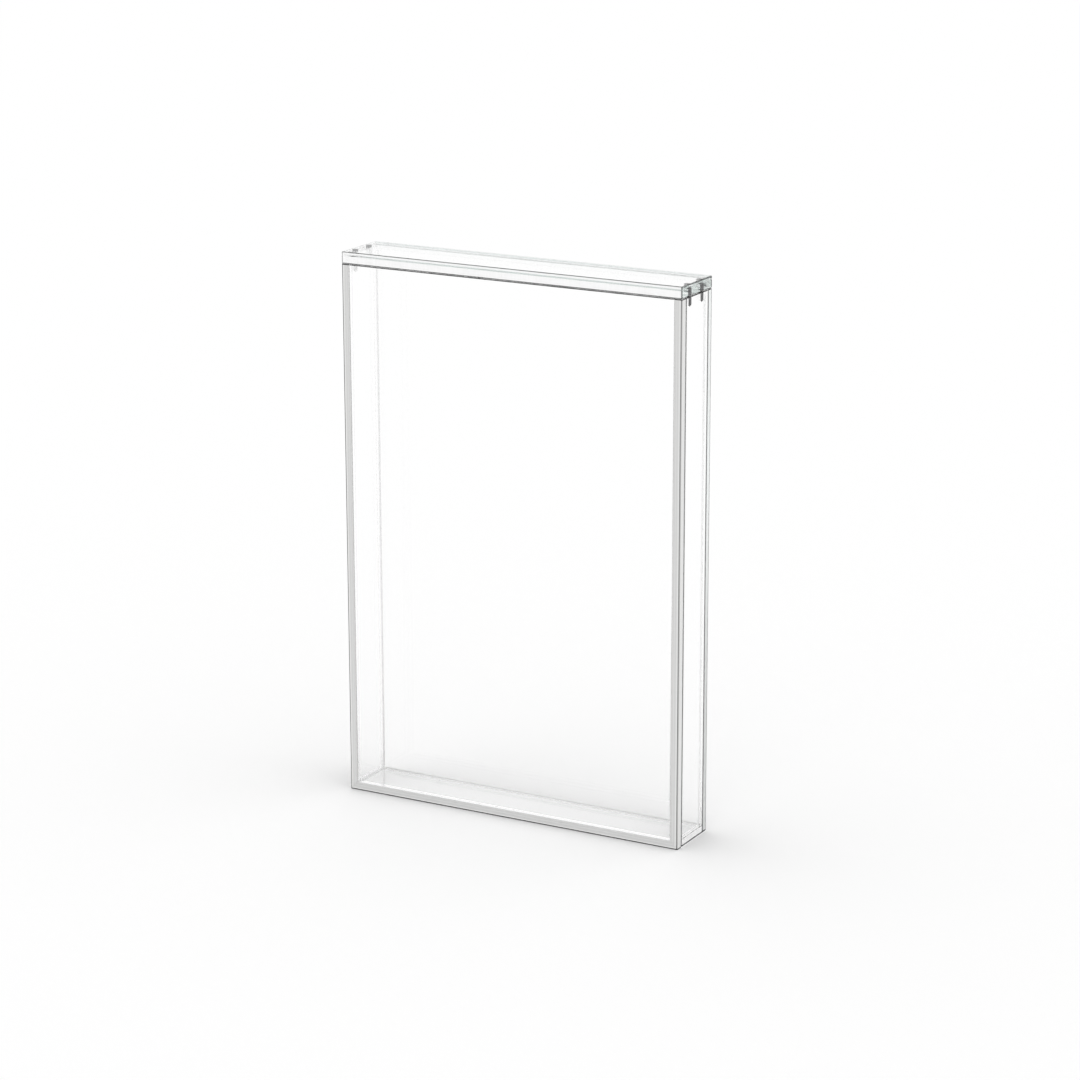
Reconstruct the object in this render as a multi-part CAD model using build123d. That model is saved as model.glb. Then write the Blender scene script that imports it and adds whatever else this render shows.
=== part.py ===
from build123d import *
import os
from math import radians, tan

# A clear acrylic display case for one comic volume, with a lift-off lid held by small magnets.
# Millimetres, +Z up. The origin is under the middle of the case, on the surface it stands on.
# The front faces -Y, and left and right are as seen by someone who looks at the front.

# The volume that the case is made for
book_width = 127.0
book_height = 190.5
book_thickness = 15.6

# Room left around the volume, over each whole direction
width_room = 1.0
height_room = 2.25
depth_room = 1.0

# Sheets that the case is cut from
side_sheet = 3.0
back_sheet = 3.0
bottom_sheet = 3.0
window_sheet = 3.0
rail_width = 3.0
lid_plate_sheet = 3.0
lid_cover_sheet = 1.2

# Joints between the sheets, and the broken edge that every sheet has
glue_film = 0.05
lid_seat_gap = 0.1
arris = 0.25

# Magnets, two at each end of the lid and two under them in each side panel
magnet_diameter = 2.0
magnet_length = 3.0
magnet_arris = 0.15
magnet_end_distance = 3.7
magnet_recess = 0.05
pocket_clearance = 0.05
drill_point_angle = 118.0

# Inside of the case, from the volume and its room
cavity_width = book_width + width_room
cavity_depth = book_thickness + depth_room
cavity_height = book_height + height_room

# Outside of the case: the front layer, the core of sides and bottom, then the back panel
case_width = cavity_width + 2 * side_sheet
case_depth = window_sheet + cavity_depth + back_sheet
case_top = bottom_sheet + cavity_height - lid_seat_gap
case_left = -case_width / 2
case_front = -case_depth / 2
core_front = case_front + window_sheet + glue_film
core_depth = cavity_depth - 2 * glue_film
back_front = core_front + core_depth + glue_film
side_foot = bottom_sheet + glue_film

# The lid lies on the rim of the case and its plate carries the cover
lid_underside = case_top + lid_seat_gap
cover_underside = lid_underside + lid_plate_sheet + glue_film

# Magnet axes stand in the middle of the side panels
magnet_x = (case_width - side_sheet) / 2
magnet_front = core_front + magnet_end_distance
magnet_back = core_front + core_depth - magnet_end_distance
pocket_radius = magnet_diameter / 2 + pocket_clearance
pocket_depth = magnet_recess + magnet_length
drill_point_height = pocket_radius / tan(radians(drill_point_angle / 2))


def sheet(width, depth, height, left, front, foot):
    """A flat sheet with all of its edges broken, from its lowest corner."""
    lowest = (Align.MIN, Align.MIN, Align.MIN)
    blank = Pos(left, front, foot) * Box(width, depth, height, align=lowest)
    return chamfer(blank.edges(), arris)


def rail(corners, long_axis):
    """A strip of the front frame, from the outline of its face, with its long edges broken."""
    outline = Plane.XZ.offset(-case_front) * make_face(Polyline(*corners, close=True))
    strip = extrude(outline, -window_sheet)
    return chamfer(strip.edges().filter_by(long_axis), arris)


def drilled_pocket(x, y):
    """The blind hole for one magnet, from the rim of the case down to the drill's point."""
    hung = (Align.CENTER, Align.CENTER, Align.MAX)
    bore = Pos(x, y, case_top) * Cylinder(pocket_radius, pocket_depth, align=hung)
    point = Cone(0, pocket_radius, drill_point_height, align=hung)
    return bore + Pos(x, y, case_top - pocket_depth) * point


def through_hole(x, y):
    """The hole for one magnet right through the lid's plate."""
    standing = (Align.CENTER, Align.CENTER, Align.MIN)
    return Pos(x, y, lid_underside) * Cylinder(pocket_radius, lid_plate_sheet, align=standing)


def magnet(x, y, top):
    """A rod magnet with its rims broken, hung from its top face."""
    hung = (Align.CENTER, Align.CENTER, Align.MAX)
    rod = Cylinder(magnet_diameter / 2, magnet_length, align=hung)
    rod = chamfer(rod.edges().filter_by(GeomType.CIRCLE), magnet_arris)
    return Pos(x, y, top) * rod


sides = {"left": -1, "right": 1}
rows = {"front": magnet_front, "back": magnet_back}
parts = {}

# Back panel and bottom panel, both as wide as the case
parts["back_panel"] = sheet(case_width, back_sheet, case_top, case_left, back_front, 0)
parts["bottom_panel"] = sheet(case_width, core_depth, bottom_sheet, case_left, core_front, 0)

# Side panels stand on the bottom panel, each drilled for two magnets
for side, sign in sides.items():
    left = case_left if sign < 0 else -case_left - side_sheet
    height = case_top - side_foot
    panel = sheet(side_sheet, core_depth, height, left, core_front, side_foot)
    for y in rows.values():
        panel -= drilled_pocket(sign * magnet_x, y)
    parts[f"side_panel_{side}"] = panel

# Front frame: two upright rails mitred to a bottom rail, flush with the window between them
for side, sign in sides.items():
    outer = sign * case_width / 2
    inner = sign * (case_width / 2 - rail_width)
    corners = [
        (outer, glue_film),
        (outer, case_top),
        (inner, case_top),
        (inner, rail_width + glue_film),
    ]
    parts[f"front_rail_{side}"] = rail(corners, Axis.Z)

bottom_corners = [
    (case_left, 0),
    (-case_left, 0),
    (-case_left - rail_width, rail_width),
    (case_left + rail_width, rail_width),
]
parts["front_rail_bottom"] = rail(bottom_corners, Axis.X)

# Window, glued in between the rails
window_left = case_left + rail_width + glue_film
window_foot = rail_width + glue_film
window_width = -2 * window_left
window_height = case_top - window_foot
parts["front_window"] = sheet(
    window_width, window_sheet, window_height, window_left, case_front, window_foot
)

# Lid: a drilled plate under a thin cover that closes the holes from above
plate = sheet(case_width, case_depth, lid_plate_sheet, case_left, case_front, lid_underside)
for sign in sides.values():
    for y in rows.values():
        plate -= through_hole(sign * magnet_x, y)
parts["lid_plate"] = plate
parts["lid_cover"] = sheet(
    case_width, case_depth, lid_cover_sheet, case_left, case_front, cover_underside
)

# Magnets: those in the side panels end just under the rim, those in the lid fill its holes
for side, sign in sides.items():
    for row, y in rows.items():
        x = sign * magnet_x
        wall_top = case_top - magnet_recess
        lid_top = lid_underside + lid_plate_sheet
        parts[f"wall_magnet_{side}_{row}"] = magnet(x, y, wall_top)
        parts[f"lid_magnet_{side}_{row}"] = magnet(x, y, lid_top)

os.makedirs("parts", exist_ok=True)
for name, part in parts.items():
    export_step(part, f"parts/{name}.step")
print(f"{len(parts)} parts, {case_width:.1f} x {case_depth:.1f} mm, {cover_underside + lid_cover_sheet:.1f} mm tall")
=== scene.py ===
# %% [markdown]
# # A clear case for one comic volume
# The case is made of flat acrylic sheets, a framed front window and a lid that is held by small
# magnets. The construction is already modelled: this lesson loads it as a fixed frame and gives every
# sheet, rail and magnet its finish. Lengths here are metres.

# %% Load the construction
from math import radians, tan

import bmesh
import bpy
from mathutils import Matrix, Vector


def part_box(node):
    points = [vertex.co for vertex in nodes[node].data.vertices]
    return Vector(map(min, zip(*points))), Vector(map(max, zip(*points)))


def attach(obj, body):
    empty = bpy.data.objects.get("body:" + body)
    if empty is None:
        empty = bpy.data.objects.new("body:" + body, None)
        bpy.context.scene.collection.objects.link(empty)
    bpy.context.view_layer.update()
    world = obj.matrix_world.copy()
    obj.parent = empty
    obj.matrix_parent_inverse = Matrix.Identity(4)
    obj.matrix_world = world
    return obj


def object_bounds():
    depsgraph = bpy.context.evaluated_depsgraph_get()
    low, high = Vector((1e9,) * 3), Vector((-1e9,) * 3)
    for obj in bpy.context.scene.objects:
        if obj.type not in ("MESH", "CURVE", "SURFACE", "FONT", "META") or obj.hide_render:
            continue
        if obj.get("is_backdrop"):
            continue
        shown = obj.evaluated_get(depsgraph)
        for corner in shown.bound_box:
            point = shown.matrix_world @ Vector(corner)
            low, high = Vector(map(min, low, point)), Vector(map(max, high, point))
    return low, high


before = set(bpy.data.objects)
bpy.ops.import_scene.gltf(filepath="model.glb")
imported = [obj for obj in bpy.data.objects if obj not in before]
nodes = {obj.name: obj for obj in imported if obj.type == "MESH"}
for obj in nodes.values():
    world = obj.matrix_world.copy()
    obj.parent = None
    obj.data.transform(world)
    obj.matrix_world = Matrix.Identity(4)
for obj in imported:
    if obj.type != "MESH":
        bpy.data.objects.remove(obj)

MM = 0.001
cad_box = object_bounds()

# %% [markdown]
# ## The camera
# A photographer fixes the view before anything is lit, so the camera comes first. The case is seen
# from its right front, a little above the lid, through a long lens that keeps the upright edges nearly
# parallel. The lens is given in pixels of the square picture, because that is how it is measured.

# %% Camera at the viewing angle
PICTURE_SIDE_PX = 1080
LENS_PX = 3427.6
SENSOR_MM = 36.0
CAMERA_AT = Vector((0.5696, -1.0176, 0.4243))
CAMERA_TURN = radians(28.967)
CAMERA_DOWN = radians(15.505)
CAMERA_ROLL = radians(-0.126)
NEAREST_SEEN = 0.01
FURTHEST_SEEN = 50.0

camera_data = bpy.data.cameras.new("camera")
camera_data.sensor_width = SENSOR_MM
camera_data.lens = LENS_PX / PICTURE_SIDE_PX * SENSOR_MM
camera_data.clip_start = NEAREST_SEEN
camera_data.clip_end = FURTHEST_SEEN
camera = bpy.data.objects.new("camera", camera_data)
aim = Matrix.Rotation(CAMERA_TURN, 4, "Z") @ Matrix.Rotation(radians(90) - CAMERA_DOWN, 4, "X")
camera.matrix_world = Matrix.Translation(CAMERA_AT) @ aim @ Matrix.Rotation(CAMERA_ROLL, 4, "Z")
scene = bpy.context.scene
scene.collection.objects.link(camera)
scene.camera = camera
print("lens mm:", round(camera_data.lens, 2))

# %% [markdown]
# ## Light
# A clear object has hardly any colour of its own: it shows what stands around it. So the world is
# plain white at a strength of one. A path of light may cross a clear sheet and bounce along inside it
# dozens of times before it leaves at a cut end, so the limits on bounces are raised: at the usual
# limit those ends would turn black. Passing an open joint counts as a transparent bounce, and
# meeting the floor or a sanded end as a diffuse one, so these limits are raised too. Filter Glossy is
# off. It blurs sharp surfaces for light that has already met a matt one, and at its usual value a
# clear case throws a heavy shadow.

# %% World and light paths
LIGHT_PIPE_BOUNCES = 96
FILTER_GLOSSY = 0.0
MATT_BOUNCES = 24
WHITE = (1.0, 1.0, 1.0, 1.0)
WORLD_STRENGTH = 1.0

world = bpy.data.worlds.new("white_room")
world.use_nodes = True
background = world.node_tree.nodes["Background"].inputs
background["Color"].default_value = WHITE
background["Strength"].default_value = WORLD_STRENGTH
scene.world = world
scene.view_settings.view_transform = "Standard"
scene.cycles.max_bounces = LIGHT_PIPE_BOUNCES
scene.cycles.transmission_bounces = LIGHT_PIPE_BOUNCES
scene.cycles.glossy_bounces = LIGHT_PIPE_BOUNCES
scene.cycles.transparent_max_bounces = LIGHT_PIPE_BOUNCES
scene.cycles.diffuse_bounces = MATT_BOUNCES
scene.cycles.blur_glossy = FILTER_GLOSSY
print("bounces:", LIGHT_PIPE_BOUNCES, "filter glossy:", FILTER_GLOSSY)

# %% [markdown]
# ## Helpers for materials
# Every finish below is a small tree of nodes. These helpers keep the trees short: one adds a node and
# fills its inputs, and the others add the commonest kinds. A noise can be smooth or fine, and nearly
# all of it lies in one span, which is named here for the places that stretch it.

# %% Node helpers
NOISE_SPAN = (0.3, 0.7)
SMOOTH = 1.0
FINE = 2.0
UNSCALED = 1.0


def put(tree, kind, at=None, **settings):
    """Add a node to a tree. Settings name its properties, and at maps inputs to values or sockets."""
    node = tree.nodes.new(kind)
    for key, value in settings.items():
        setattr(node, key, value)
    for socket, value in (at or {}).items():
        if isinstance(value, bpy.types.NodeSocket):
            tree.links.new(value, node.inputs[socket])
        else:
            node.inputs[socket].default_value = value
    return node


def calc(tree, operation, *values):
    """Add a Math node on the given values or sockets and return its output."""
    return put(tree, "ShaderNodeMath", dict(enumerate(values)), operation=operation).outputs[0]


def times(tree, first, *others):
    """Multiply values or sockets. For masks of 0 and 1 this means: where all of them are 1."""
    for other in others:
        first = calc(tree, "MULTIPLY", first, other)
    return first


def xyz(tree, vector):
    """Split a vector and return its three parts."""
    return put(tree, "ShaderNodeSeparateXYZ", {0: vector}).outputs


def place_of(tree):
    """The place of the shaded point, measured from the part's own origin."""
    return put(tree, "ShaderNodeTexCoord").outputs["Object"]


def noise(tree, spot, scale, detail=FINE):
    """Add a noise in space and return its value."""
    at = {"Vector": spot, "Scale": scale, "Detail": detail}
    return put(tree, "ShaderNodeTexNoise", at).outputs[0]


def spread(tree, value, start, end, to_start=0.0, to_end=1.0):
    """Map the range from start to end onto another one and return the result."""
    at = {"Value": value, "From Min": start, "From Max": end, "To Min": to_start, "To Max": to_end}
    return put(tree, "ShaderNodeMapRange", at).outputs[0]


def blend(tree, mask, first, second):
    """Go from a first colour to a second one where the mask is 1, and return the result."""
    node = put(tree, "ShaderNodeMix", data_type="RGBA")
    by_name = {socket.identifier: socket for socket in node.inputs}
    tree.links.new(mask, by_name["Factor_Float"])
    for identifier, colour in (("A_Color", first), ("B_Color", second)):
        if isinstance(colour, bpy.types.NodeSocket):
            tree.links.new(colour, by_name[identifier])
        else:
            by_name[identifier].default_value = (*colour, 1.0)
    return next(socket for socket in node.outputs if socket.identifier == "Result_Color")


def scaled(tree, colour, level):
    """Multiply a colour by a level and return the result."""
    return put(tree, "ShaderNodeVectorMath", {0: colour, "Scale": level}, operation="SCALE").outputs[0]


# %% [markdown]
# ## Helpers for groups and whole materials
# A node group is how an effect is shared by several materials, so one helper starts a group and one
# places it. The rest start a material, give it relief and put it on pieces of the construction.

# %% Group and material helpers


def new_group(name, outputs, inputs=None):
    """Start a shader node group. Outputs map titles to kinds, and inputs map them to (kind, value)."""
    group = bpy.data.node_groups.new(name, "ShaderNodeTree")
    for title, (kind, value) in (inputs or {}).items():
        socket = group.interface.new_socket(title, in_out="INPUT", socket_type="NodeSocket" + kind)
        socket.default_value = value
    for title, kind in outputs.items():
        group.interface.new_socket(title, in_out="OUTPUT", socket_type="NodeSocket" + kind)
    return group, group.nodes.new("NodeGroupOutput").inputs


def use(tree, group, **values):
    """Place a node group in a tree and return its outputs. Underscores in names stand for spaces."""
    at = {title.replace("_", " "): value for title, value in values.items()}
    return put(tree, "ShaderNodeGroup", at, node_tree=group).outputs


def new_material(name, **sockets):
    """Start a material on one Principled shader whose uniform values sit on its own sockets."""
    material = bpy.data.materials.new(name)
    material.use_nodes = True
    shader = material.node_tree.nodes["Principled BSDF"]
    for title, value in sockets.items():
        shader.inputs[title.replace("_", " ")].default_value = value
    return material, material.node_tree, shader.inputs


def emboss(tree, sockets, pattern, height):
    """Turn a pattern into relief on the surface."""
    relief = put(tree, "ShaderNodeBump", {"Height": pattern, "Distance": height})
    tree.links.new(relief.outputs["Normal"], sockets["Normal"])


def dress(names, material):
    """Give construction nodes a material through their own material slots."""
    for name in names:
        nodes[name].material_slots[0].material = material
    print(material.name, "on", ", ".join(names))


# %% [markdown]
# ## Floor
# The case stands on a white floor that runs out of sight. The floor is a little below the case, by
# less than the thickness of paper, so that two faces never lie in one plane.

# %% Floor
FLOOR_SIDE = 12.0
FLOOR_DROP = 0.05 * MM
FLOOR_ROUGHNESS = 0.9

half = FLOOR_SIDE / 2
flat_corners = ((-half, -half), (half, -half), (half, half), (-half, half))
floor_mesh = bpy.data.meshes.new("floor")
floor_mesh.from_pydata([(x, y, -FLOOR_DROP) for x, y in flat_corners], [], [(0, 1, 2, 3)])
floor = bpy.data.objects.new("floor", floor_mesh)
scene.collection.objects.link(floor)
floor_finish = {"Base_Color": WHITE, "Roughness": FLOOR_ROUGHNESS, "Specular_IOR_Level": 0.0}
floor_paint = new_material("floor_paint", **floor_finish)[0]
floor_mesh.materials.append(floor_paint)
floor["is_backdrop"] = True
print("floor:", FLOOR_SIDE, "m square")

# %% [markdown]
# ## Which face of a sheet is which
# An acrylic sheet leaves the saw with three kinds of face: the two polished faces that the maker
# never touched, the cut ends, and the broken edges between them, called arrises. Each has its own
# finish. A node group tells them apart by the direction that the surface faces, so one material can
# finish a whole sheet.

# %% Node group: facing
SQUARE_ON = 0.9
AXES = ("X", "Y", "Z")

facing, result = new_group("facing", {title: "Float" for title in (*AXES, "Arris")})
normal = put(facing, "ShaderNodeTexCoord").outputs["Normal"]
turned = put(facing, "ShaderNodeVectorMath", {0: normal}, operation="ABSOLUTE").outputs[0]
parts = xyz(facing, turned)
square = [calc(facing, "GREATER_THAN", parts[axis], SQUARE_ON) for axis in AXES]
for axis, mask in zip(AXES, square):
    facing.links.new(mask, result[axis])
flat = calc(facing, "ADD", calc(facing, "ADD", square[0], square[1]), square[2])
facing.links.new(calc(facing, "SUBTRACT", 1.0, flat), result["Arris"])
print("group:", facing.name)

# %% [markdown]
# ## The outline
# The broken edges on the outside of the case read as thin dark lines, like those of a drawing. The
# lines at the corners, under the lid, along the top, at the foot and along the back are painted shade:
# they stand in for the dark that the broken edges show by refraction, and for the shadow in the gap
# under the lid and at the foot. Each line takes in its arris and a hair of the face beside it, and a
# little more at the foot, on the top edge towards the back and on the back edge of the lid. The heights
# of the lines come from the pieces.

# %% Places and widths of the lines
low, high = cad_box
HALF_WIDTH = (high[0] - low[0]) / 2
CASE_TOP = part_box("front_window")[1][2]
RIM_HEIGHT = (CASE_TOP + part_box("lid_plate")[0][2]) / 2
SEAM_HEIGHT = (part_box("lid_plate")[1][2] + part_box("lid_cover")[0][2]) / 2
LAYER_JOINT = (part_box("side_panel_left")[1][1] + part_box("back_panel")[0][1]) / 2
ARRIS = 0.25 * MM
HAIR = 0.20 * MM
RIM_REACH = 0.40 * MM
BACK_REACH = 0.60 * MM
JOINT_REACH = 0.38 * MM
JOINT_SHIFT = 0.22 * MM
LID_BACK_EXTRA = 0.40 * MM
SIDE_FOOT_EXTRA = 0.30 * MM
TOP_WEDGE = 0.018
SURFACE_REACH = 0.30 * MM
print("rim mm:", round(RIM_HEIGHT / MM, 2), "seam mm:", round(SEAM_HEIGHT / MM, 2))

# %% [markdown]
# ## Finding the lines
# This group finds the lines by their place on the case: the front corners, the rim under the lid, the
# top edge, the foot, the joints between the layers, the seam in the lid and the back edge. It also
# says how far a point is from the outer edge of the front frame.

# %% Node group: outline places
names = ("Corner", "Rim", "Top", "Foot", "Front Joint", "Back Joint", "Seam", "Back", "Frame Distance")
places, result = new_group("outline_places", {title: "Float" for title in names})
x, y, z = xyz(places, place_of(places))
from_side = calc(places, "SUBTRACT", HALF_WIDTH, calc(places, "ABSOLUTE", x))
from_front = calc(places, "SUBTRACT", y, low[1])
from_back = calc(places, "SUBTRACT", high[1], y)
side = calc(places, "LESS_THAN", from_side, SURFACE_REACH)
front = calc(places, "LESS_THAN", from_front, SURFACE_REACH)
back = calc(places, "LESS_THAN", from_back, SURFACE_REACH)
upright = calc(places, "MAXIMUM", side, calc(places, "MAXIMUM", front, back))
case = calc(places, "LESS_THAN", z, RIM_HEIGHT)
lid = calc(places, "SUBTRACT", 1.0, case)
from_joint = calc(places, "ABSOLUTE", calc(places, "SUBTRACT", y, JOINT_SHIFT))
layer = times(places, calc(places, "COMPARE", from_joint, LAYER_JOINT, JOINT_REACH), side, case)
behind = calc(places, "GREATER_THAN", y, 0.0)
back_reach = calc(places, "MULTIPLY_ADD", lid, LID_BACK_EXTRA, BACK_REACH)
open_side = times(places, side, calc(places, "GREATER_THAN", y, -LAYER_JOINT))
foot_reach = calc(places, "MULTIPLY_ADD", open_side, SIDE_FOOT_EXTRA, ARRIS + HAIR)
top_start = calc(places, "SUBTRACT", high[2] - ARRIS, times(places, from_front, TOP_WEDGE, side))
masks = {
    "Corner": times(places, calc(places, "LESS_THAN", from_side, ARRIS + HAIR), front),
    "Rim": times(places, upright, calc(places, "COMPARE", z, RIM_HEIGHT, RIM_REACH)),
    "Top": times(places, upright, calc(places, "GREATER_THAN", z, top_start)),
    "Foot": times(places, upright, calc(places, "LESS_THAN", z, foot_reach)),
    "Front Joint": times(places, layer, calc(places, "SUBTRACT", 1.0, behind)),
    "Back Joint": times(places, layer, behind),
    "Seam": times(places, upright, calc(places, "COMPARE", z, SEAM_HEIGHT, ARRIS)),
    "Back": times(places, calc(places, "LESS_THAN", from_back, back_reach), side),
    "Frame Distance": calc(places, "MINIMUM", from_side, z),
}
for title, mask in masks.items():
    places.links.new(mask, result[title])
print("group:", places.name, "lines:", len(masks) - 1)

# %% [markdown]
# ## Inking the outline
# A second group turns those places into a tint. It darkens the face tint where a line runs, by an
# amount for each line, and a little unevenly, because an edge broken by hand is never even. The line
# is inked only where Direct is 1. The material feeds that from Light Path, so an edge is dark where
# the eye meets it first, and does not blacken all the light that runs along inside the sheets.

# %% Node group: outline
# Painted shade: the colour of the edge lines, standing in for the dark that the edges show by
# refraction and for the shadow in the gaps.
INK = (0.002, 0.002, 0.002)
UNEVEN_PER_METRE = 220.0
UNEVEN_LEVELS = (0.97, 1.02)
ARRIS_FADE = 0.45
LINES = {
    "Corner": 0.95,
    "Rim": 1.0,
    "Top": 0.95,
    "Foot": 1.0,
    "Front Joint": 0.95,
    "Back Joint": 0.95,
    "Seam": 0.08,
    "Back": 0.95,
}

inputs = {"Face Tint": ("Color", WHITE), "Direct": ("Float", 1.0), "Arris": ("Float", 0.0)}
for title, usual in LINES.items():
    inputs[title] = ("Float", usual)
outline, result = new_group("outline", {"Tint": "Color", "Line": "Float"}, inputs)
given = outline.nodes.new("NodeGroupInput").outputs
spot = use(outline, places)
depth = 0.0
fade = calc(outline, "MULTIPLY_ADD", given["Arris"], -ARRIS_FADE, 1.0)
for title in LINES:
    line = times(outline, spot[title], given[title])
    if title == "Corner":
        line = times(outline, line, fade)
    depth = calc(outline, "MAXIMUM", depth, line)
wobble = noise(outline, place_of(outline), UNEVEN_PER_METRE)
uneven = spread(outline, wobble, 0.0, 1.0, *UNEVEN_LEVELS)
depth = calc(outline, "MINIMUM", times(outline, depth, uneven, given["Direct"]), 1.0)
outline.links.new(blend(outline, depth, given["Face Tint"], INK), result["Tint"])
seam = times(outline, spot["Seam"], given["Direct"])
outline.links.new(calc(outline, "MAXIMUM", depth, seam), result["Line"])
print("group:", outline.name, "lines:", len(LINES))

# %% [markdown]
# ## Cemented joints
# Where clear sheets are cemented, the solvent melts them into one body, and light passes as if no
# joint were there. The pieces are modelled with a hair of air between them, which would mirror like a
# pane. So each sheet is made open there: its alpha is 0, and light goes on inside the next piece
# without a bend. The group finds two such places: the joint between the plate and the cover of the
# lid, and the grooves beside the rails, where cement fills the window's arrises.

# %% Node group: cemented
CEMENT_REACH = 0.06 * MM
BED_REACH = 0.3 * MM
WINDOW_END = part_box("front_window")[1][0]

cemented, result = new_group("cemented", {"Lid": "Float", "Window": "Float"})
place = xyz(cemented, place_of(cemented))
turned = use(cemented, facing)
in_seam = calc(cemented, "COMPARE", place["Z"], SEAM_HEIGHT, CEMENT_REACH)
cemented.links.new(times(cemented, in_seam, turned["Z"]), result["Lid"])
from_middle = calc(cemented, "ABSOLUTE", place["X"])
beside_rail = calc(cemented, "GREATER_THAN", from_middle, WINDOW_END - BED_REACH)
below_top = calc(cemented, "LESS_THAN", place["Z"], CASE_TOP - BED_REACH)
cemented.links.new(times(cemented, beside_rail, below_top, turned["Arris"]), result["Window"])
print("group:", cemented.name)

# %% [markdown]
# ## Marks of handling
# Clear acrylic is never quite perfect: it carries a few hairline scratches, which are longer than
# they are wide, and soft patches of haze where it was wiped. Both are far weaker than on glass that
# is old, and show only where light glances off. The group gives one mask for each.

# %% Node group: handling
SCRATCH_TURN = radians(35)
SCRATCHES_PER_METRE = (70.0, 2600.0, 70.0)
SCRATCH_RANGE = (0.72, 0.78)
HAZE_PER_METRE = 28.0
HAZE_DETAIL = 3.0
HAZE_RANGE = (0.5, 0.75)

handling, result = new_group("handling", {"Scratch": "Float", "Haze": "Float"})
spot = place_of(handling)
turned = put(handling, "ShaderNodeVectorRotate", {0: spot, "Angle": SCRATCH_TURN}).outputs[0]
at = {0: turned, 1: SCRATCHES_PER_METRE}
stretched = put(handling, "ShaderNodeVectorMath", at, operation="MULTIPLY").outputs[0]
hairs = spread(handling, noise(handling, stretched, UNSCALED, SMOOTH), *SCRATCH_RANGE)
cloud = spread(handling, noise(handling, spot, HAZE_PER_METRE, HAZE_DETAIL), *HAZE_RANGE)
handling.links.new(hairs, result["Scratch"])
handling.links.new(cloud, result["Haze"])
print("group:", handling.name)

# %% [markdown]
# ## Painted streaks on the lid
# A few dark streaks are painted on the ends of the lid: they stand in for the dark bands that the clear
# ends show by refraction. They run nearly along the edge, slanted, and read as short dark dashes. A
# noise that is stretched along the streak makes them, and only its highest patches count.

# %% Node group: painted streaks
# Painted shade: dark dashes on the lid's ends, standing in for the bands that the clear ends show by
# refraction.
STREAK_SLANT = 0.196
STREAKS_ALONG_PER_METRE = 110.0
STREAKS_ACROSS_PER_METRE = 850.0
STREAK_START = 7.3
STREAK_RANGE = (0.5, 0.62)

painted_streaks, result = new_group("painted_streaks", {"Streak": "Float"})
place = xyz(painted_streaks, place_of(painted_streaks))
across = calc(painted_streaks, "MULTIPLY_ADD", place["Y"], STREAK_SLANT, place["Z"])
across = calc(painted_streaks, "MULTIPLY_ADD", across, STREAKS_ACROSS_PER_METRE, STREAK_START)
along = times(painted_streaks, place["Y"], STREAKS_ALONG_PER_METRE)
spot = put(painted_streaks, "ShaderNodeCombineXYZ", {"X": along, "Y": across}).outputs[0]
dashes = spread(painted_streaks, noise(painted_streaks, spot, UNSCALED, SMOOTH), *STREAK_RANGE)
painted_streaks.links.new(dashes, result["Streak"])
print("group:", painted_streaks.name)

# %% [markdown]
# ## Shade of a clear sheet
# The floor beside the case is lit partly through its sheets, and the sheet's shade dims that light.
# This is how the clear case throws its soft shadow on the floor.
# Paths of light are followed back from the eye, so these are the paths that have met the floor and
# then enter a sheet from afar. What is led along inside a sheet keeps its strength. A sheet can have
# another shade on its outer face, on its ends and at its foot.

# %% Shade of the light for the floor
CLEAR = (1.0, 1.0, 1.0)
AFAR = 0.5 * MM
HALF_A_BOUNCE = 0.5
FOOT_BAND = 4 * MM


def grey_of(level):
    """The neutral colour of a level."""
    return level, level, level


def met_matt(tree, light):
    """A mask for paths that have met a matt surface on their way from the eye."""
    return calc(tree, "GREATER_THAN", light["Diffuse Depth"], HALF_A_BOUNCE)


def from_floor(tree, light, leaving):
    """A mask for paths that have met a matt surface and enter the sheet from afar."""
    entering = calc(tree, "SUBTRACT", 1.0, leaving)
    from_afar = calc(tree, "GREATER_THAN", light["Ray Length"], AFAR)
    return times(tree, met_matt(tree, light), entering, from_afar)


def outer_face(tree, turned, texture):
    """A mask for the face of an upright sheet that looks away from the middle of the case."""
    at = {0: texture["Normal"], 1: texture["Object"]}
    outward = put(tree, "ShaderNodeVectorMath", at, operation="DOT_PRODUCT").outputs["Value"]
    return times(tree, turned["Y"], calc(tree, "GREATER_THAN", outward, 0.0))


def shaded(tree, dimmed, turned, shade, foot, outer, ends):
    """The tint of a sheet that is clear except where dimmed: the shade, and what differs from it."""
    texture = put(tree, "ShaderNodeTexCoord").outputs
    height = xyz(tree, texture["Object"])["Z"]
    tint = blend(tree, dimmed, CLEAR, grey_of(shade))
    if outer:
        level, reached_at = outer
        rising = blend(tree, spread(tree, height, 0.0, reached_at), grey_of(foot), grey_of(level))
        tint = blend(tree, times(tree, dimmed, outer_face(tree, turned, texture)), tint, rising)
    if ends is not None:
        tint = blend(tree, times(tree, dimmed, turned["X"]), tint, grey_of(ends))
    low_down = calc(tree, "LESS_THAN", height, FOOT_BAND)
    return blend(tree, times(tree, dimmed, low_down), tint, grey_of(foot))


# %% [markdown]
# ## Clear sheets
# All sheets are cast acrylic: colourless, with the index of refraction of that plastic, and polished
# on every face that is not inked by the outline. The sawn ends of the lid are open to light that
# leaves: their fine grooves let it out, so they don't mirror the rods beside them. The shader keeps a
# plain weight of transmission, and only its colour, roughness and alpha are painted.

# %% Clear sheet material
ACRYLIC_IOR = 1.49
LINE_ROUGHNESS = 0.4
SCRATCH_ROUGHNESS = 0.05
HAZE_ROUGHNESS = 0.012
PAINTED_STREAK_DARK = (0.04, 0.042, 0.045)


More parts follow.
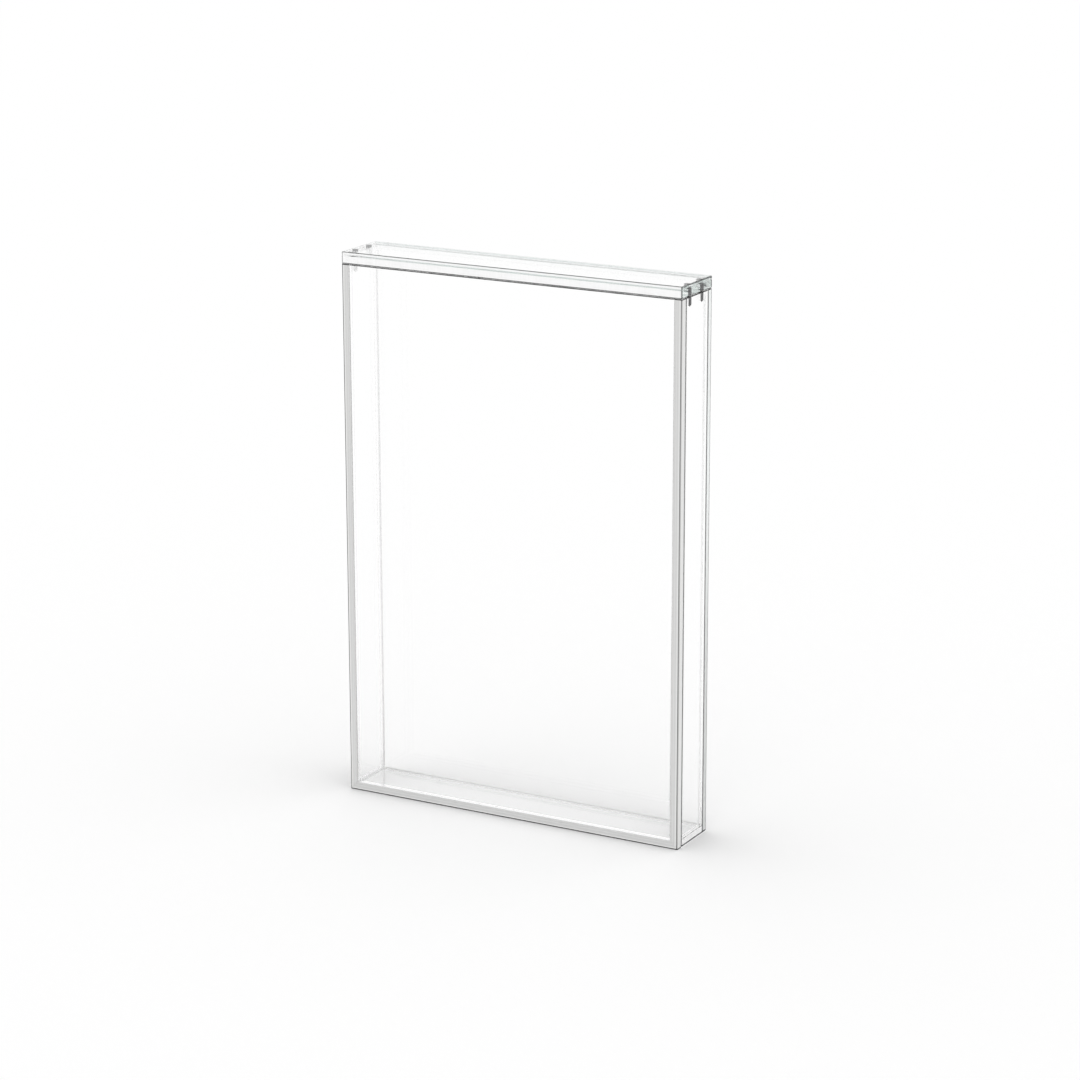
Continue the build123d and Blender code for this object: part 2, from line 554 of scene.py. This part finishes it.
def worn(tree, line, arris, scraped):
    """The roughness: a trace where handled, more on the inked lines and on scraped arrises."""
    marks = use(tree, handling)
    rough = times(tree, marks["Haze"], HAZE_ROUGHNESS)
    shares = ((marks["Scratch"], SCRATCH_ROUGHNESS), (line, LINE_ROUGHNESS), (arris, scraped))
    for mask, most in shares:
        rough = calc(tree, "MAXIMUM", rough, times(tree, mask, most))
    return rough


def clear_sheet(name, shade, foot, outer=None, ends=None, joint=None, sawn=False, scraped=0.0, **lines):
    """A clear sheet. Shade, ends and foot dim light for the floor: in all, on the ends and low down.
    Outer is the same for the outer face, with the height at which it is reached. Joint names the place
    that is opened, sawn puts painted dark streaks on the ends, and scraped is the arrises' roughness."""
    material, tree, sockets = new_material(name, Transmission_Weight=1.0, IOR=ACRYLIC_IOR)
    light = put(tree, "ShaderNodeLightPath").outputs
    leaving = put(tree, "ShaderNodeNewGeometry").outputs["Backfacing"]
    turned = use(tree, facing)
    tint = shaded(tree, from_floor(tree, light, leaving), turned, shade, foot, outer, ends)
    edge = use(tree, outline, Face_Tint=tint, Direct=light["Is Camera Ray"], **lines)
    tree.links.new(worn(tree, edge["Line"], turned["Arris"], scraped), sockets["Roughness"])
    tint = edge["Tint"]
    # Painted shade: dark streaks on the lid's ends, standing in for the bands that the ends show by
    # refraction.
    if sawn:
        seen = times(tree, turned["X"], light["Is Camera Ray"])
        tint = blend(tree, times(tree, use(tree, painted_streaks)["Streak"], seen), tint, PAINTED_STREAK_DARK)
    tree.links.new(tint, sockets["Base Color"])
    if joint:
        opened = use(tree, cemented)[joint]
        if sawn:
            opened = calc(tree, "MAXIMUM", opened, times(tree, turned["X"], leaving))
        tree.links.new(calc(tree, "SUBTRACT", 1.0, opened), sockets["Alpha"])
    return material


# %% [markdown]
# ## Shades of the sheets
# The side panels hold back most of the light for the floor, and the window lets nearly all of it
# through. The back panel holds back more of it at its outer face, and most at the foot. The lid is
# too high to shade the floor. Its back line is drawn a little darker than that of the case, and its
# corners are a little paler.

# %% Clear sheets on their pieces
WIDE_SHADE = 0.92
WINDOW_OUTER = (0.96, FOOT_BAND)
BACK_OUTER = (0.76, 32 * MM)
SIDE_SHADE = 0.04
END_SHADE = 0.02
FOOT_SHADE = 0.01
NO_SHADE = 1.0
SCRAPED_ROUGHNESS = 0.6
LID_BACK_LINE = 0.97
LID_CORNER_LINE = 0.9

window_finish = {"outer": WINDOW_OUTER, "joint": "Window"}
dress(["front_window"], clear_sheet("window_acrylic", WIDE_SHADE, FOOT_SHADE, **window_finish))
back_finish = {"outer": BACK_OUTER, "ends": END_SHADE}
dress(["back_panel"], clear_sheet("back_acrylic", WIDE_SHADE, FOOT_SHADE, **back_finish))
side_sheet = clear_sheet("side_acrylic", SIDE_SHADE, FOOT_SHADE, scraped=SCRAPED_ROUGHNESS)
dress(["side_panel_left", "side_panel_right"], side_sheet)
dress(["bottom_panel"], clear_sheet("bottom_acrylic", NO_SHADE, FOOT_SHADE))
lid_finish = {"joint": "Lid", "sawn": True, "Back": LID_BACK_LINE, "Corner": LID_CORNER_LINE}
dress(["lid_plate"], clear_sheet("lid_plate_acrylic", NO_SHADE, NO_SHADE, **lid_finish))
dress(["lid_cover"], clear_sheet("lid_cover_acrylic", NO_SHADE, NO_SHADE, **lid_finish))

# %% [markdown]
# ## Rails
# The front frame is three strips of a pale grey sheet, matt as paper. Seen close, they carry fine lines
# along their length, left by the blade that split them, and a lighter band at the outer edge, a painted
# highlight for the light that enters from the side. The lines follow the distance from the frame's
# outer edge, so they turn the corner with the frame. Their bonded faces lie against clear sheet and
# stay white. The shown faces give less light back to the floor than they show, for the soft shadow
# beside the case.

# %% Rail material
# Painted highlight: the outer band of the rails is lighter for the light that enters from the side.
RAIL_OUTER = (0.77, 0.77, 0.765)
RAIL_INNER = (0.66, 0.66, 0.655)
RAIL_BONDED = (0.95, 0.95, 0.95)
RAIL_SHADE = (0.15, 0.15, 0.15)
RAIL_ROUGHNESS = 0.4
BAND_FROM = 0.65 * MM
BAND_TO = 1.3 * MM
BLADE_LINES_PER_METRE = 2400.0
BLADE_LINE_HEIGHT = 0.01 * MM
STREAK_LEVELS = (0.91, 1.09)

rail_satin, tree, sockets = new_material("rail_satin", IOR=ACRYLIC_IOR, Roughness=RAIL_ROUGHNESS)
turned = use(tree, facing)
distance = use(tree, places)["Frame Distance"]
at = {"W": times(tree, distance, BLADE_LINES_PER_METRE), "Scale": UNSCALED, "Detail": FINE}
blade = put(tree, "ShaderNodeTexNoise", at, noise_dimensions="1D").outputs[0]
grey = blend(tree, spread(tree, distance, BAND_FROM, BAND_TO), RAIL_OUTER, RAIL_INNER)
grey = scaled(tree, grey, spread(tree, blade, *NOISE_SPAN, *STREAK_LEVELS))
at_front = calc(tree, "LESS_THAN", xyz(tree, place_of(tree))["Y"], low[1] + ARRIS)
outer_side = times(tree, turned["X"], calc(tree, "LESS_THAN", distance, ARRIS))
shown = calc(tree, "MAXIMUM", at_front, outer_side)
tint = blend(tree, shown, RAIL_BONDED, grey)
light = put(tree, "ShaderNodeLightPath").outputs
tint = blend(tree, times(tree, met_matt(tree, light), shown), tint, RAIL_SHADE)
edge = use(tree, outline, Face_Tint=tint, Direct=light["Is Camera Ray"], Arris=turned["Arris"])
tree.links.new(edge["Tint"], sockets["Base Color"])
emboss(tree, sockets, blade, BLADE_LINE_HEIGHT)
dress(["front_rail_left", "front_rail_right", "front_rail_bottom"], rail_satin)

# %% [markdown]
# ## Magnets
# The magnets are small rods with a dark nickel coat. The coat is smooth with a fine grain, and a
# little brighter in patches on the flat ends, where it has rubbed thin.

# %% Magnet material
COAT = (0.03, 0.03, 0.032)
RUBBED = (0.16, 0.16, 0.165)
COAT_ROUGHNESS = 0.35
GRAIN_PER_METRE = 9000.0
GRAIN_HEIGHT = 0.004 * MM
RUB_RANGE = (0.45, 0.7)

magnet_coat, tree, sockets = new_material("magnet_coat", Roughness=COAT_ROUGHNESS)
grain = noise(tree, place_of(tree), GRAIN_PER_METRE)
rubbed = times(tree, spread(tree, grain, *RUB_RANGE), use(tree, facing)["Z"])
tree.links.new(blend(tree, rubbed, COAT, RUBBED), sockets["Base Color"])
emboss(tree, sockets, grain, GRAIN_HEIGHT)
wall_magnets = [name for name in sorted(nodes) if name.startswith("wall_magnet")]
lid_magnets = [name for name in sorted(nodes) if name.startswith("lid_magnet")]
dress(wall_magnets + lid_magnets, magnet_coat)

# %% [markdown]
# ## Growing pieces with Geometry Nodes
# Small parts that repeat are grown by a tree of nodes on loose points, one point for each place. Two
# helpers start and end such a tree. The third sets the tree's inputs before the first look at the
# result, takes that result as a plain mesh, and drops the modifier with the points. The last one
# joins such meshes into a piece of the case or of the lid.

# %% Helpers: grow a piece on points


def start_tree(name, floats):
    """Start a Geometry Nodes tree with named sizes, a Turn and a Material."""
    tree = bpy.data.node_groups.new(name, "GeometryNodeTree")
    face = tree.interface
    face.new_socket("Geometry", in_out="INPUT", socket_type="NodeSocketGeometry")
    for title in floats:
        face.new_socket(title, in_out="INPUT", socket_type="NodeSocketFloat")
    face.new_socket("Turn", in_out="INPUT", socket_type="NodeSocketVector")
    face.new_socket("Material", in_out="INPUT", socket_type="NodeSocketMaterial")
    face.new_socket("Geometry", in_out="OUTPUT", socket_type="NodeSocketGeometry")
    return tree, tree.nodes.new("NodeGroupInput").outputs


def end_tree(tree, given, shape):
    """Put the shape on every point, make the copies real and give them the material."""
    at = {"Points": given["Geometry"], "Instance": shape, "Rotation": given["Turn"]}
    copies = put(tree, "GeometryNodeInstanceOnPoints", at).outputs["Instances"]
    real = put(tree, "GeometryNodeRealizeInstances", {"Geometry": copies}).outputs["Geometry"]
    done = put(tree, "GeometryNodeSetMaterial", {"Geometry": real, "Material": given["Material"]})
    tree.links.new(done.outputs["Geometry"], tree.nodes.new("NodeGroupOutput").inputs["Geometry"])
    print("tree:", tree.name, "nodes:", len(tree.nodes))


def grown(name, tree, points, values):
    """Run a tree on loose points and return its result as a plain mesh."""
    seed_mesh = bpy.data.meshes.new(name + "_points")
    seed_mesh.from_pydata(points, [], [])
    seed = bpy.data.objects.new(name + "_points", seed_mesh)
    scene.collection.objects.link(seed)
    modifier = seed.modifiers.new("nodes", "NODES")
    modifier.node_group = tree
    for item in tree.interface.items_tree:
        if item.in_out == "INPUT" and item.name in values:
            modifier[item.identifier] = values[item.name]
    bpy.context.view_layer.update()
    result = seed.evaluated_get(bpy.context.evaluated_depsgraph_get())
    mesh = bpy.data.meshes.new_from_object(result)
    mesh.name = name
    bpy.data.objects.remove(seed)
    return mesh


def piece_of(name, meshes, body):
    """Join meshes of one material into a piece that rides on a body and has a slot's finish."""
    joined = bmesh.new()
    for mesh in meshes:
        joined.from_mesh(mesh)
    whole = bpy.data.meshes.new(name)
    joined.to_mesh(whole)
    joined.free()
    for material in meshes[0].materials:
        whole.materials.append(material)
    piece = bpy.data.objects.new(name, whole)
    scene.collection.objects.link(piece)
    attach(piece, body)
    print(name, "faces:", len(whole.polygons), "on", body)


# %% [markdown]
# ## The adhesive round the magnets
# Each rod sits in a drilled pocket with a film of dark adhesive round it and a blob in the drill point
# below it. From outside the adhesive looks black. In the walls, the side that faces into the case is
# painted pale, like the white seen around it, so that it hardly shows. In the lid it is dark all round.
# A noise on the surface gives it the lumps of glue that was wiped in.

# %% Adhesive material
GLUE_DARK = (0.03, 0.03, 0.032)
# Painted pale on the side that faces into the case, so that it hardly shows against the white around
# it.
GLUE_PALE = (0.985, 0.985, 0.985)
GLUE_ROUGHNESS = 0.4
GLUE_SIDE = 0.2
BLOBS_PER_METRE = 2500.0
BLOB_HEIGHT = 0.02 * MM

magnet_glue, tree, sockets = new_material("magnet_glue", Roughness=GLUE_ROUGHNESS)
texture = put(tree, "ShaderNodeTexCoord").outputs
place = xyz(tree, texture["Object"])
faced = xyz(tree, texture["Normal"])
outward = times(tree, calc(tree, "SIGN", place["X"]), faced["X"])
outward = calc(tree, "GREATER_THAN", outward, GLUE_SIDE)
in_lid = calc(tree, "GREATER_THAN", place["Z"], RIM_HEIGHT)
flat_end = calc(tree, "GREATER_THAN", calc(tree, "ABSOLUTE", faced["Z"]), SQUARE_ON)
dark = calc(tree, "MAXIMUM", outward, calc(tree, "MAXIMUM", in_lid, flat_end))
tree.links.new(blend(tree, dark, GLUE_PALE, GLUE_DARK), sockets["Base Color"])
emboss(tree, sockets, noise(tree, texture["Object"], BLOBS_PER_METRE), BLOB_HEIGHT)
print("material:", magnet_glue.name)

# %% [markdown]
# ## The shape of the adhesive
# The adhesive is a cup: a rod-shaped skin that is open at the mouth and pointed like the drill at its
# foot. The tree starts from a rod, sets a smaller rim into its top and sinks it to make the well, then
# draws the bottom out to a point. Its sizes are inputs, so the same tree serves the walls, where the
# drill left a point, and the lid, where the hole goes through and ends flat at the cover.

# %% Node tree: glue cup
ROUND = 48
SHARP = 0.001
WELD = 0.004 * MM
HALF_DOWN = -0.5

glue_cup, given = start_tree("glue_cup", ("Radius", "Wall", "Depth", "Floor", "Point Height"))
at = {"Vertices": ROUND, "Radius": given["Radius"], "Depth": given["Depth"]}
rod = put(glue_cup, "GeometryNodeMeshCylinder", at).outputs
at = {"Mesh": rod["Mesh"], "Selection": rod["Top"], "Offset Scale": 0.0, "Individual": False}
rim = put(glue_cup, "GeometryNodeExtrudeMesh", at).outputs
inside = calc(glue_cup, "SUBTRACT", given["Radius"], given["Wall"])
share = calc(glue_cup, "DIVIDE", inside, given["Radius"])
at = {"Geometry": rim["Mesh"], "Selection": rim["Top"], "Scale": share}
small = put(glue_cup, "GeometryNodeScaleElements", at).outputs[0]
sink = calc(glue_cup, "SUBTRACT", given["Floor"], given["Depth"])
at = {"Mesh": small, "Selection": rim["Top"], "Offset Scale": sink, "Individual": False}
well = put(glue_cup, "GeometryNodeExtrudeMesh", at).outputs
at = {"Mesh": well["Mesh"], "Selection": rod["Bottom"], "Individual": False}
tip = put(glue_cup, "GeometryNodeExtrudeMesh", {**at, "Offset Scale": given["Point Height"]}).outputs
at = {"Geometry": tip["Mesh"], "Selection": tip["Top"], "Scale": SHARP}
sharp = put(glue_cup, "GeometryNodeScaleElements", at).outputs["Geometry"]
at = {"Geometry": sharp, "Distance": WELD}
clean = put(glue_cup, "GeometryNodeMergeByDistance", at).outputs["Geometry"]
down = {"Z": times(glue_cup, given["Depth"], HALF_DOWN)}
down = put(glue_cup, "ShaderNodeCombineXYZ", down).outputs[0]
hung = put(glue_cup, "GeometryNodeSetPosition", {"Geometry": clean, "Offset": down})
end_tree(glue_cup, given, hung.outputs["Geometry"])

# %% [markdown]
# ## Adhesive in the walls and in the lid
# Every magnet gets a cup. Those of the lid are upside down, with a flat floor that reaches the cover.
# The mouths stay a hair inside their holes, clear of the seam under the lid.

# %% Glue cups in the walls and in the lid
POCKET_DEPTH = 3.05 * MM
DRILL_POINT = radians(118)
MOUTH_DROP = 0.02 * MM
CUP = {"Radius": 1.06 * MM, "Wall": 0.08 * MM, "Floor": 0.04 * MM, "Material": magnet_glue}
POINT_HEIGHT = CUP["Radius"] / tan(DRILL_POINT / 2)
INTO_COVER = 0.05 * MM
LID_FLOOR = 0.06 * MM
UPRIGHT = (0.0, 0.0, 0.0)
UPSIDE_DOWN = (radians(180), 0.0, 0.0)


def middle(name):
    """The middle of a node, seen from above."""
    low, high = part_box(name)
    return (low[0] + high[0]) / 2, (low[1] + high[1]) / 2


points = [(*middle(name), CASE_TOP - MOUTH_DROP) for name in wall_magnets]
sizes = {**CUP, "Depth": POCKET_DEPTH, "Point Height": POINT_HEIGHT, "Turn": UPRIGHT}
cups = grown("wall_magnet_glue", glue_cup, points, sizes)
piece_of("wall_magnet_glue", [cups], "case")
plate_low, plate_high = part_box("lid_plate")
points = [(*middle(name), plate_low[2] + MOUTH_DROP) for name in lid_magnets]
lid_depth = plate_high[2] - plate_low[2] + INTO_COVER
sizes = {**CUP, "Depth": lid_depth, "Floor": LID_FLOOR, "Point Height": 0.0, "Turn": UPSIDE_DOWN}
cups = grown("lid_magnet_glue", glue_cup, points, sizes)
piece_of("lid_magnet_glue", [cups], "lid")

# %% [markdown]
# ## Sanded ends
# The long edges of the lid, the ends of the bottom panel and those of the back panel are sanded, not
# polished: they scatter the light and look white beside the clear faces. Acrylic has a breath of green
# when it is seen through its length, so the edges at the back are tinted with it. The ends of the back
# panel carry painted shade towards the foot, for the shade of the floor that they pick up. Saw lines
# run up each end, in colour and in relief.

# %% Sanded end materials
SANDED_WHITE = (0.995, 0.995, 0.995)
SANDED_GREEN = (0.955, 0.967, 0.963)
BACK_GREEN = (0.885, 0.945, 0.925)
SANDED_ROUGHNESS = 0.7
SANDED_DULL = 0.965
BACK_DULL = 0.8
# Painted shade: the ends of the back panel grow greyer towards the foot, for the shade of the floor.
PAINTED_FOOT_SHADE = 0.85
PAINTED_SHADE_LOW = 50 * MM
PAINTED_SHADE_HIGH = 130 * MM
SAW_LINES_PER_METRE = 1500.0
SAW_STRETCH = (1.0, 1.0, 0.05)
SAW_LINE_HEIGHT = 0.006 * MM


def sanded_end(name, colour, foot=1.0, dull=SANDED_DULL):
    """A matt end with upright saw lines as dark as dull, and painted shade that greys it by a share at
    the foot.
    """
    material, tree, sockets = new_material(name, Roughness=SANDED_ROUGHNESS, Specular_IOR_Level=0.0)
    spot = place_of(tree)
    at = {0: spot, 1: SAW_STRETCH}
    drawn_out = put(tree, "ShaderNodeVectorMath", at, operation="MULTIPLY").outputs[0]
    saw = noise(tree, drawn_out, SAW_LINES_PER_METRE)
    lines = spread(tree, saw, *NOISE_SPAN, dull)
    painted_shade = spread(tree, xyz(tree, spot)["Z"], PAINTED_SHADE_LOW, PAINTED_SHADE_HIGH, foot)
    tint = scaled(tree, colour, times(tree, lines, painted_shade))
    tree.links.new(tint, sockets["Base Color"])
    emboss(tree, sockets, saw, SAW_LINE_HEIGHT)
    print("material:", material.name)
    return material


sanded_white = sanded_end("sanded_white", SANDED_WHITE)
sanded_green = sanded_end("sanded_green", SANDED_GREEN, foot=PAINTED_FOOT_SHADE)
back_green = sanded_end("back_green", BACK_GREEN, dull=BACK_DULL)

# %% [markdown]
# ## The shape of a sanded end
# A shader cannot be clear and matt at once while its weight of transmission stays plain, so each
# sanded end gets a skin of its own, thinner than a hair and just below the surface, as the scratched
# layer of a sanded end is. The tree draws a card with rounded corners, fills it and gives it its
# thickness. The skin stops at the arris, so that the outline runs round it.

# %% Node tree: end skin
CORNER_STEPS = 3
SKIN_WELD = 0.001 * MM

end_skin, given = start_tree("end_skin", ("Length", "Height", "Thickness", "Corner"))
at = {"Width": given["Length"], "Height": given["Height"]}
card = put(end_skin, "GeometryNodeCurvePrimitiveQuadrilateral", at).outputs["Curve"]
at = {"Curve": card, "Radius": given["Corner"], "Count": CORNER_STEPS}
rounded = put(end_skin, "GeometryNodeFilletCurve", at, mode="POLY").outputs["Curve"]
face = put(end_skin, "GeometryNodeFillCurve", {"Curve": rounded}, mode="NGONS").outputs["Mesh"]
down = {"Z": times(end_skin, given["Thickness"], HALF_DOWN)}
down = put(end_skin, "ShaderNodeCombineXYZ", down).outputs[0]
under = put(end_skin, "GeometryNodeSetPosition", {"Geometry": face, "Offset": down}).outputs[0]
at = {"Mesh": under, "Offset Scale": given["Thickness"], "Individual": False}
raised = put(end_skin, "GeometryNodeExtrudeMesh", at).outputs["Mesh"]
turned = put(end_skin, "GeometryNodeFlipFaces", {"Mesh": under}).outputs["Mesh"]
both = put(end_skin, "GeometryNodeJoinGeometry")
end_skin.links.new(turned, both.inputs[0])
end_skin.links.new(raised, both.inputs[0])
at = {"Geometry": both.outputs[0], "Distance": SKIN_WELD}
shut = put(end_skin, "GeometryNodeMergeByDistance", at).outputs["Geometry"]
end_tree(end_skin, given, shut)

# %% [markdown]
# ## Skins on the lid and on the case
# A skin takes its length and height from the box of its sheet, less the arrises. The lid has one on
# each long edge of its two layers, and the bottom panel and the back panel have one on each end.

# %% Skins on the lid and on the case
SKIN_DEPTH = 0.02 * MM
SKIN_THICKNESS = 0.03 * MM
SKIN_CORNER = 0.1 * MM
TO_FRONT = (radians(90), 0.0, 0.0)
TO_SIDE_FLAT = (radians(90), 0.0, radians(90))


def skins(node, axis, material, name, ends_wanted=(0, 1)):
    """Skins on the low and high ends of a sheet along x or y."""
    low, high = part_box(node)
    centre = [(a + b) / 2 for a, b in zip(low, high)]
    inset = SKIN_DEPTH + SKIN_THICKNESS / 2
    ends = []
    for end in ends_wanted:
        spot = list(centre)
        spot[axis] = (low[axis] + inset, high[axis] - inset)[end]
        ends.append(spot)
    along = 1 - axis
    sizes = {
        "Length": high[along] - low[along] - 2 * ARRIS,
        "Height": high[2] - low[2] - 2 * ARRIS,
        "Thickness": SKIN_THICKNESS,
        "Corner": SKIN_CORNER,
        "Turn": TO_FRONT if axis == 1 else TO_SIDE_FLAT,
        "Material": material,
    }
    return grown(name, end_skin, ends, sizes)


lid_layers = ("lid_plate", "lid_cover")
lid_front = [skins(node, 1, sanded_white, node + "_front", [0]) for node in lid_layers]
piece_of("lid_front_edge", lid_front, "lid")
lid_back = [skins(node, 1, back_green, node + "_back", [1]) for node in lid_layers]
piece_of("lid_back_edge", lid_back, "lid")
bottom_ends = skins("bottom_panel", 0, sanded_white, "bottom_skins")
piece_of("bottom_sanded_ends", [bottom_ends], "case")
back_ends = skins("back_panel", 0, sanded_green, "back_skins")
piece_of("back_sanded_ends", [back_ends], "case")

# %% [markdown]
# ## Beads of cement
# When two sheets are cemented, a little cement is pressed out and sets as a thin bead along the inner
# corner. From the front it shows as a soft line where the walls, the floor and the back meet. Set
# cement is almost white, cloudy inside and a little grainy on top, so its colour drifts between two
# pale tones and a fine noise gives it relief. The bead along the back of the floor lies in the shade of
# the back panel, so it gets a grey copy of the cement with that shade painted in.

# %% Bead material
CEMENT_PALE = (0.965, 0.968, 0.965)
CEMENT_CLEAR = (0.99, 0.99, 0.99)
# Painted shade: a greyer copy of the cement for the bead in the shade of the back panel.
SHADED_CEMENT_GREY = (0.86, 0.865, 0.86)
SHADED_CEMENT_PALE = (0.91, 0.915, 0.91)
CEMENT_ROUGHNESS = 0.45
CLOUDS_PER_METRE = 160.0
CEMENT_GRAIN_PER_METRE = 3000.0
CEMENT_GRAIN_HEIGHT = 0.01 * MM


def cement_tones(name, first, second):
    """A cement whose colour drifts between two tones."""
    material, tree, sockets = new_material(name, Roughness=CEMENT_ROUGHNESS)
    spot = place_of(tree)
    clouds = noise(tree, spot, CLOUDS_PER_METRE)
    tree.links.new(blend(tree, clouds, first, second), sockets["Base Color"])
    emboss(tree, sockets, noise(tree, spot, CEMENT_GRAIN_PER_METRE), CEMENT_GRAIN_HEIGHT)
    print("material:", material.name)
    return material


cement = cement_tones("cement_bead", CEMENT_PALE, CEMENT_CLEAR)
shaded_cement = cement_tones("cement_foot", SHADED_CEMENT_GREY, SHADED_CEMENT_PALE)

# %% [markdown]
# ## The shape of a bead
# Each bead is a quarter round that is swept along a line, which is what Curve to Mesh is for. A noise
# along the line changes the radius of the sweep, so the bead swells and thins a little on its way,
# and a seed for each bead keeps any two from looking alike.

# %% Node tree: bead
BEAD_STEP = 2 * MM
BEAD_ARC_STEPS = 6
SWELL_PER_METRE = 90.0

bead, given = start_tree("bead", ("Length", "Leg", "Swell", "Seed"))
top = put(bead, "ShaderNodeCombineXYZ", {"Z": given["Length"]}).outputs[0]
path = put(bead, "GeometryNodeCurvePrimitiveLine", {"End": top}).outputs["Curve"]
at = {"Curve": path, "Length": BEAD_STEP}
path = put(bead, "GeometryNodeResampleCurve", at, mode="LENGTH").outputs["Curve"]
at = {"W": given["Seed"], "Scale": SWELL_PER_METRE, "Detail": FINE}
field = put(bead, "ShaderNodeTexNoise", at, noise_dimensions="4D").outputs[0]
least = calc(bead, "SUBTRACT", 1.0, given["Swell"])
radius = spread(bead, field, *NOISE_SPAN, least)
path = put(bead, "GeometryNodeSetCurveRadius", {"Curve": path, "Radius": radius}).outputs["Curve"]
at = {"Radius": given["Leg"], "Sweep Angle": radians(90), "Resolution": BEAD_ARC_STEPS}
at["Connect Center"] = True
profile = put(bead, "GeometryNodeCurveArc", at, mode="RADIUS").outputs["Curve"]
at = {"Curve": path, "Profile Curve": profile, "Fill Caps": True}
end_tree(bead, given, put(bead, "GeometryNodeCurveToMesh", at).outputs["Mesh"])

# %% [markdown]
# ## Beads along the inner corners
# Two beads go up the back corners, one lies at the foot of each side panel and one along the foot of
# the back panel. Each starts from a corner of the cavity, and two directions say which way it fills.
# The one at the left foot is thicker than the others.

# %% Beads along the inner corners
BEAD_LEG = 0.5 * MM
LEFT_FOOT_LEG = 0.8 * MM
BEAD_SWELL = 0.15
BEAD_GAP = 0.01 * MM
BEAD_TOP_GAP = 1.5 * MM

inner_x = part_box("side_panel_right")[0][0] - BEAD_GAP
inner_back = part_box("back_panel")[0][1] - BEAD_GAP
inner_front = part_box("front_window")[1][1] + BEAD_GAP
inner_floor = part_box("bottom_panel")[1][2] + BEAD_GAP
inner_height = CASE_TOP - BEAD_TOP_GAP - inner_floor
inner_depth = inner_back - inner_front
left, right = Vector((-1, 0, 0)), Vector((1, 0, 0))
forward, up = Vector((0, -1, 0)), Vector((0, 0, 1))


def bead_in(seed, start, first, second, length, leg=BEAD_LEG, material=cement):
    """A bead from a corner point, filling the corner between two directions."""
    turn = Matrix((first, second, first.cross(second))).transposed().to_euler()
    sizes = {"Length": length, "Leg": leg, "Swell": BEAD_SWELL, "Seed": float(seed)}
    return grown("bead", bead, [start], {**sizes, "Turn": tuple(turn), "Material": material})


back_left = (-inner_x, inner_back, inner_floor)
back_right = (inner_x, inner_back, inner_floor)
front_left = (-inner_x, inner_front, inner_floor)
front_right = (inner_x, inner_front, inner_floor)
side_beads = [
    bead_in(1, back_left, forward, right, inner_height),
    bead_in(2, back_right, left, forward, inner_height),
    bead_in(4, front_left, up, right, inner_depth, LEFT_FOOT_LEG),
    bead_in(5, front_right, left, up, inner_depth),
]
piece_of("cement_beads", side_beads, "case")
back_bead = bead_in(3, back_left, up, forward, 2 * inner_x, material=shaded_cement)
piece_of("cement_foot_bead", [back_bead], "case")

# %% [markdown]
# ## Sizes of the model
# The finishes must not change the size of the case, so the last cell prints the box of the construction
# and that of the finished model side by side.

# %% Sizes and finish
drawn_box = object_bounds()
sizes = {"cad": [list(corner) for corner in cad_box], "visual": [list(corner) for corner in drawn_box]}
print("size:", sizes)
